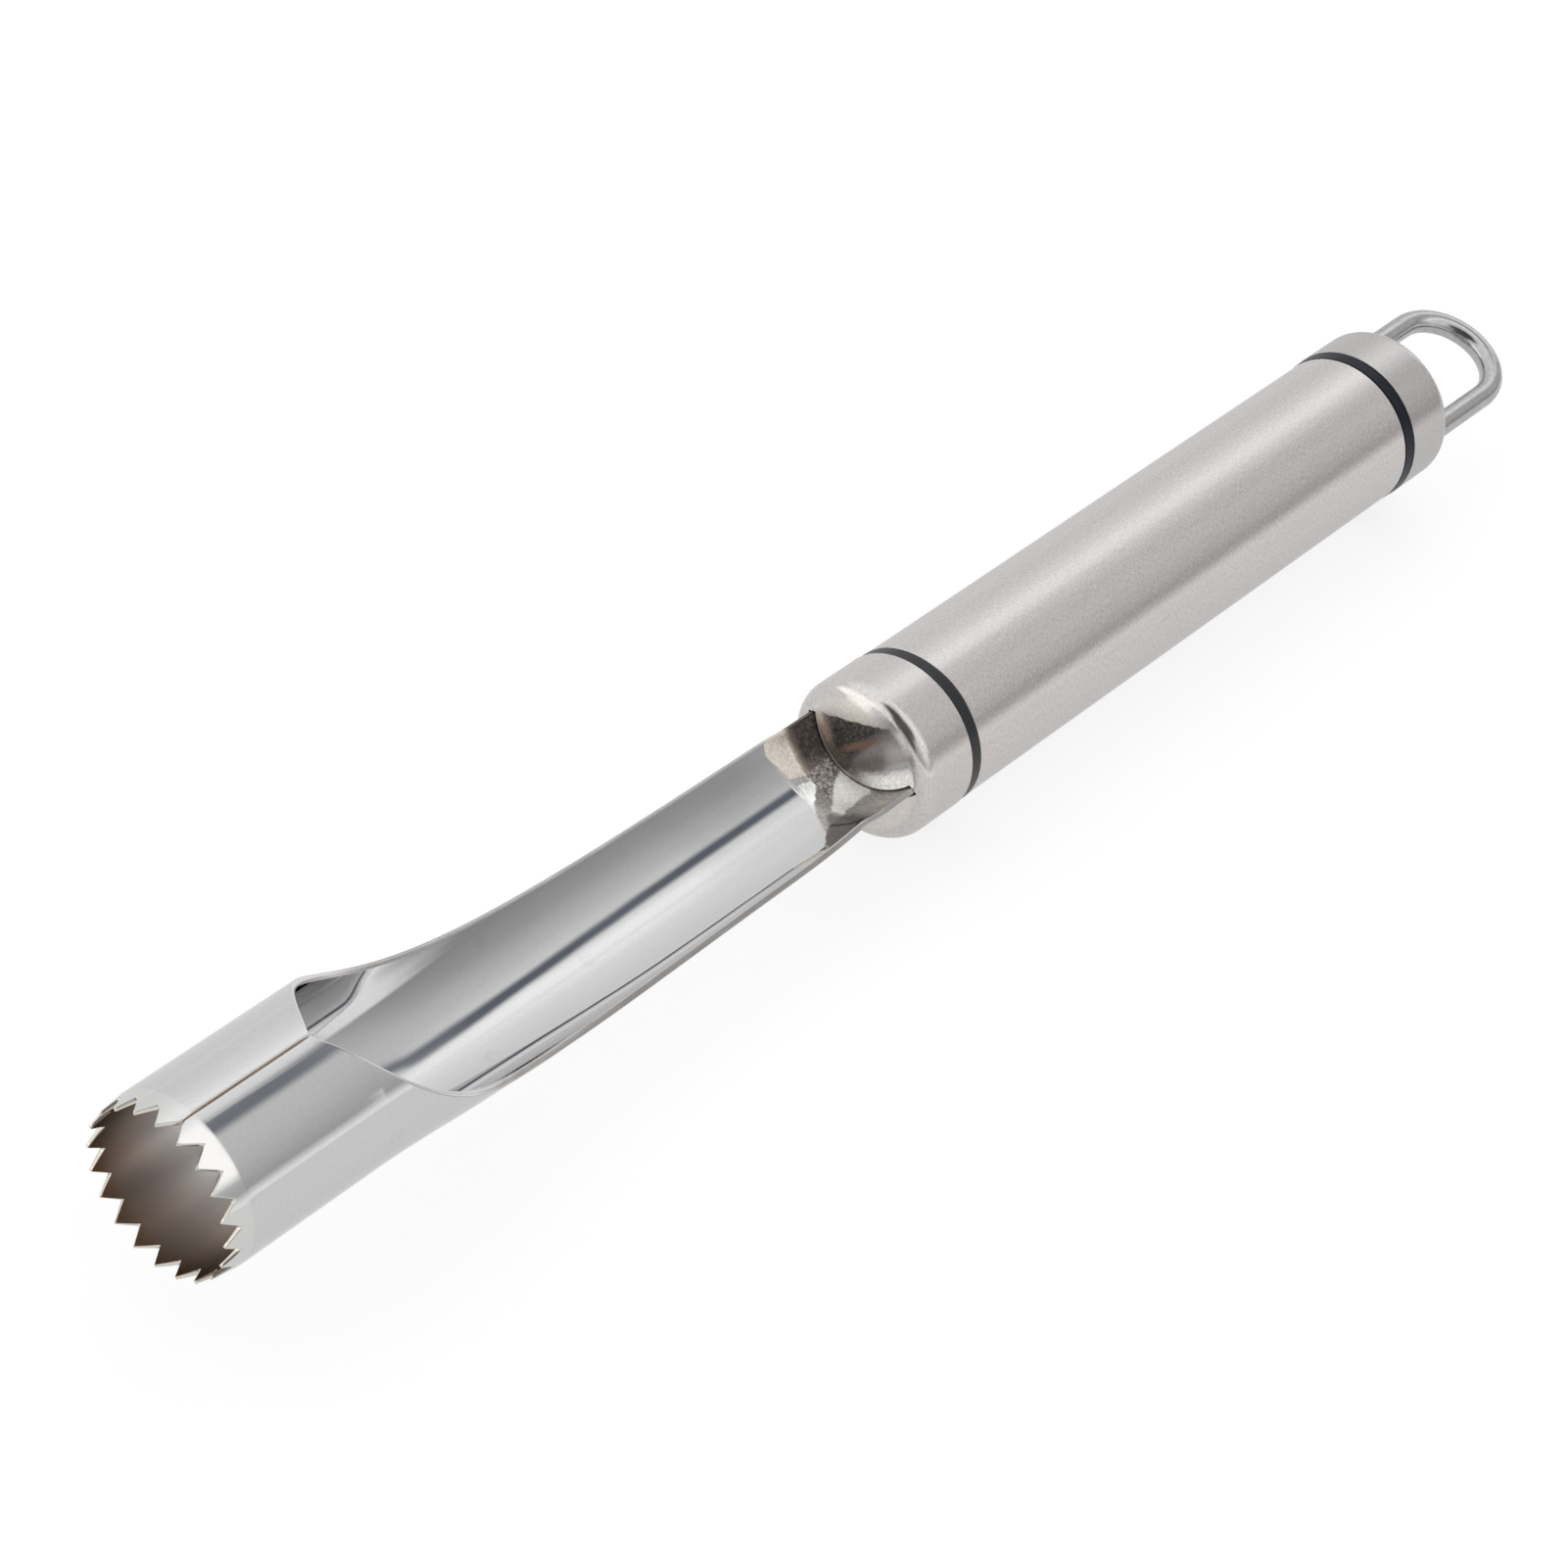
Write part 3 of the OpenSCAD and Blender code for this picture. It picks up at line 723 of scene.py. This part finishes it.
def wire_steel():
    """Smooth drawn wire."""
    m, t, s = material("wire_steel")
    s.inputs["Metallic"].default_value = 1.0
    fine = t.noise(place(t)[0], 1400.0)
    col = t.blend(t.span(fine, 0.3, 0.7), (0.48, 0.48, 0.485), (0.54, 0.54, 0.54))
    t.put(s.inputs["Base Color"], col)
    t.put(s.inputs["Roughness"], t.span(fine, 0.3, 0.7, 0.15, 0.18))
    t.put(s.inputs["Normal"], t.bump(fine, 0.04, 0.00003))
    return m


# Mesh helpers

def new_mesh(name, verts, faces, mat, slot, *replaced):
    """A piece on the one body, in millimetres, which is shown in place of CAD nodes."""
    me = bpy.data.meshes.new(name)
    me.from_pydata([(x * MM, y * MM, z * MM) for x, y, z in verts], [], faces)
    if me.validate():
        raise SystemExit(name + ": a face was dropped")
    bm = bmesh.new()
    bm.from_mesh(me)
    bmesh.ops.recalc_face_normals(bm, faces=bm.faces)
    bm.to_mesh(me)
    bm.free()
    me.materials.append(mat)
    for p in me.polygons:
        p.use_smooth = True
    ob = bpy.data.objects.new(name, me)
    bpy.context.scene.collection.objects.link(ob)
    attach(ob, "root")
    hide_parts(*replaced)
    return ob


def soften(ob, width, angle):
    """Breaks the edges that are sharper than angle in degrees, by width in millimetres."""
    b = ob.modifiers.new("edge_break", "BEVEL")
    b.width = width * MM
    b.segments = 2
    b.limit_method = "ANGLE"
    b.angle_limit = math.radians(angle)
    b.use_clamp_overlap = True


def shade_large_faces(ob):
    """Lets the large faces set the shading, so that narrow ones round their edges."""
    w = ob.modifiers.new("shading", "WEIGHTED_NORMAL")
    w.keep_sharp = False
    w.weight = 60


# The blade: the CAD model's formulas on a finer grid, with the near wing bent outwards

def section(z):
    """The sheet's outer radius, its lowest line's height over the tube's axis, and its half angle."""
    opened = ease((z - CLOSED - OPEN_START) / OPEN_LENGTH)
    pressed = ease((z - NECK_Z) / (NECK_END - NECK_Z))
    r = 1 / mix(1 / mix(TUBE_R, TROUGH_R, opened), 1 / NECK_R, pressed)
    low = mix(-TUBE_R, -RISE - NECK_FLOOR, pressed)
    full = 180 - math.degrees(SEAM / 2 / TUBE_R)
    if z <= CLOSED:
        return r, low, full
    d = z - CLOSED
    width = BLANK_W - TAPER * d + (math.pi * TUBE_R - BLANK_W) * math.exp(-d / FADE)
    width = mix(width, NECK_W, pressed)
    return r, low, min(math.degrees(width / r), full)


def flare(z, a):
    """How far the near wing is bent outwards at the angle a, in millimetres.

    The table's straight runs are eased by a mean over 8 mm along the blade.
    """
    def opening(at):
        for (z0, d0), (z1, d1) in zip(FLARE, FLARE[1:]):
            if z0 < at <= z1:
                return mix(d0, d1, (at - z0) / (z1 - z0))
        return 0.0

    if a >= 0:
        return 0.0
    amount = sum(opening(z + k) for k in (-4, -2, 0, 2, 4)) / 5
    start, full = FLARE_ANGLES
    share = min(max(-math.degrees(a) - start, 0.0) / (full - start), 1.0)
    return amount * math.sin(math.pi / 2 * share) ** 1.5


def bevel_cut(z):
    return BEVEL_D * max(0.0, 1 - z / BEVEL_L)


def edge_radius(z):
    e = mix(TIP_EDGE, SIDE_EDGE, ease((z - TOOTH_DEPTH) / 2))
    return mix(e, WINDOW_EDGE, ease((z - CLOSED) / 3) * ease((60 - z) / 15))


def point(x, c, rad, a):
    """A point at the angle a from straight down, at the radius rad about the height c."""
    return (x, rad * math.sin(a), c - rad * math.cos(a))


def blade_mesh(sheet, edge):
    pitch = 360 / TEETH
    half = pitch / 2 - math.degrees(TOOTH_FLAT / 2 / TUBE_R)

    def mouth(col):
        """The depth of the toothed mouth at the column col, in degrees."""
        a = (col + 180) % pitch
        a = min(a, pitch - a)
        return TOOTH_DEPTH * max(0.0, 1 - a / half)

    # Columns fall on every tooth's point and notch
    cols = []
    for k in range(TEETH):
        root = -180 + k * pitch
        cols += [root + half * q / 5 for q in range(5)]
        cols += [root + half, root + pitch - half]
        cols += [root + pitch - half + half * q / 5 for q in range(1, 5)]
    cols.append(180.0)

    # Rings follow the mouth first, as shares of the bevel, and then the Z from the tips
    rings = [("mouth", g) for g in (0, 0.06, 0.15, 0.3, 0.5, 0.75, 1.0)]
    rings += [("ring", z) for z in (4, 5, 6.5, 8, 9.5, 11, 12.5, 14, 15.5, 17, 18, 18.7, 19.1)]
    rings.append(("ring", CLOSED - 0.02))
    z, step = CLOSED + 0.05, 0.2
    while z < NECK_Z - 0.8:
        rings.append(("ring", z))
        z += step
        step = min(step * 1.05, 1.4)
    rings += [("ring", NECK_Z - 0.35), ("ring", NECK_Z - 0.1)]
    z = NECK_Z
    while z < NECK_END + 0.01:
        rings.append(("ring", z))
        z += 0.3
    rings += [("ring", 108.0), ("ring", TAIL_Z)]

    quarter = [0.0] + [math.radians(22.5 * q) for q in range(1, 4)]
    m, side = len(cols), 2 * len(quarter)
    verts = []

    def rounded(x, c, ri, ro, a, e, sign):
        """The sheet's rounded edge, from its inner to its outer face."""
        inner = [point(x, c, ri + e - e * math.cos(q), a + sign * e * math.sin(q) / ri)
                 for q in quarter]
        outer = [point(x, c, ro - e + e * math.cos(q), a + sign * e * math.sin(q) / ro)
                 for q in reversed(quarter)]
        return inner + outer

    for kind, v in rings:
        rows = []
        for col in cols:
            zz = mix(mouth(col) + TIP_BREAK, BEVEL_L, v) if kind == "mouth" else v
            r, low, ha = section(zz)
            e = edge_radius(zz)
            stop = ha - math.degrees(e / r)
            # Behind the teeth the columns spread out evenly over the sheet
            a = math.radians(mix(max(-stop, min(stop, col)), stop * col / 180, ease((zz - 5) / 12)))
            c = BLADE_Z + low + r
            ro = r + flare(zz, a)
            rows.append((TIP_X + zz, c, ro - SHEET, ro - bevel_cut(zz), a, e))
        ring = [point(x, c, ri, a) for x, c, ri, ro, a, e in rows]
        ring += rounded(*rows[-1], 1)
        ring += [point(x, c, ro, a) for x, c, ri, ro, a, e in reversed(rows)]
        ring += reversed(rounded(*rows[0], -1))
        verts += ring
    loop = len(ring)

    faces, marks = [], []
    edges = set(range(m - 1, m + side)) | set(range(2 * m + side - 1, 2 * m + 2 * side))
    for i in range(len(rings) - 1):
        for j in range(loop):
            k = (j + 1) % loop
            a, b = i * loop, (i + 1) * loop
            faces.append((a + j, a + k, b + k, b + j))
            marks.append(1 if j in edges else 0)

    # The tips: a broken edge on each face of the sheet, and the flat between them
    front = len(verts)
    for col in cols:
        z = mouth(col)
        r, low, ha = section(z)
        stop = ha - math.degrees(TIP_EDGE / r)
        a = math.radians(max(-stop, min(stop, col)))
        c = BLADE_Z + low + r
        verts.append(point(TIP_X + z, c, r - SHEET + TIP_BREAK, a))
        verts.append(point(TIP_X + z, c, r - bevel_cut(z) - TIP_BREAK, a))
    top = m + side

    def over_at(j):
        return top + (m - 1 - j)

    for j in range(m - 1):
        a, b = front + 2 * j, front + 2 * j + 2
        faces += [(j, a, b, j + 1), (a, a + 1, b + 1, b), (a + 1, over_at(j), over_at(j + 1), b + 1)]
        marks += [0, 1, 0]
    a = front + 2 * (m - 1)
    faces.append(tuple([m - 1, a, a + 1, over_at(m - 1)] + list(range(m + side - 1, m - 1, -1))))
    faces.append(tuple([0, front, front + 1, over_at(0)] + list(range(top + m, loop))))

    # The tail's end, inside the cap
    last = (len(rings) - 1) * loop
    for j in range(m - 1):
        faces.append((last + j, last + j + 1, last + over_at(j + 1), last + over_at(j)))
    faces.append(tuple(last + q for q in range(m - 1, m + side + 1)))
    faces.append(tuple(last + q for q in list(range(top + m - 1, loop)) + [0]))
    marks += [1] * (len(faces) - len(marks))

    ob = new_mesh("blade_sheet", verts, faces, sheet, "blade_steel", "blade")
    ob.data.materials.append(edge)
    for p, k in zip(ob.data.polygons, marks):
        p.material_index = k
    shade_large_faces(ob)


# The hanging loop: one swept wire

def loop_mesh(mat):
    # Each leg runs straight from inside the rear cap to the half turn
    leg = (94.0, 99.0, 101.5, 104.0, 106.5, 109.0)
    path = [(x, LEG_R, (1, 0)) for x in leg]
    for q in range(0, 37):
        a = math.radians(90 - 5 * q)
        path.append((BEND_X + LEG_R * math.cos(a), LEG_R * math.sin(a), (math.sin(a), -math.cos(a))))
    path += [(x, -LEG_R, (-1, 0)) for x in reversed(leg)]
    verts, faces = [], []
    seg = 40
    for x, y, (dx, dy) in path:
        for s in range(seg):
            b = 2 * math.pi * s / seg
            u = WIRE_R * math.cos(b)
            px, py, pz = x - dy * u, y + dx * u, WIRE_R * math.sin(b)
            verts.append((px, py * math.cos(ROLL) - pz * math.sin(ROLL),
                          AXIS_Z + py * math.sin(ROLL) + pz * math.cos(ROLL)))
    for i in range(len(path) - 1):
        for s in range(seg):
            a, b = i * seg + s, i * seg + (s + 1) % seg
            faces.append((a, b, b + seg, a + seg))
    faces.append(tuple(range(seg)))
    faces.append(tuple(range((len(path) - 1) * seg, len(path) * seg)))
    ob = new_mesh("loop_wire", verts, faces, mat, "wire_steel", "hanging_loop")
    soften(ob, 0.1, 60)
    shade_large_faces(ob)


def dress(node, mat):
    ob = nodes[node]
    ob.data.materials.clear()
    ob.data.materials.append(mat)


bpy.context.scene.view_settings.view_transform = "Standard"
make_camera()
make_world()
make_floor()
steel = polished_steel()
edge = cut_edge()
handle = brushed_steel("handle_brushed", (0.555, 0.532, 0.522), (0.84, 0.815, 0.805), 0.225)
front_satin = brushed_steel("front_cap_satin", (0.575, 0.55, 0.535), (0.80, 0.775, 0.76), 0.23,
                            cap=True, marks=True)
rear_satin = brushed_steel("rear_cap_satin", (0.51, 0.495, 0.49), (0.70, 0.68, 0.675), 0.25, cap=True)
front_dark = dark_plastic("ring_dark", (0.008, 0.009, 0.012), (0.014, 0.015, 0.020))
rear_dark = dark_plastic("ring_blue", (0.003, 0.006, 0.015), (0.006, 0.010, 0.024), 0.25)
plugs = dark_plastic("plug_dark", (0.060, 0.062, 0.070), (0.090, 0.092, 0.100))
wire = wire_steel()
for name, mat in (("blade", steel), ("blade_anchor", front_satin), ("front_cap", front_satin),
                  ("front_ring", front_dark), ("front_plug", plugs), ("handle_tube", handle),
                  ("rear_plug", plugs), ("rear_ring", rear_dark), ("rear_cap", rear_satin),
                  ("loop_anchor", rear_satin), ("hanging_loop", wire)):
    dress(name, mat)
blade_mesh(steel, edge)
loop_mesh(wire)
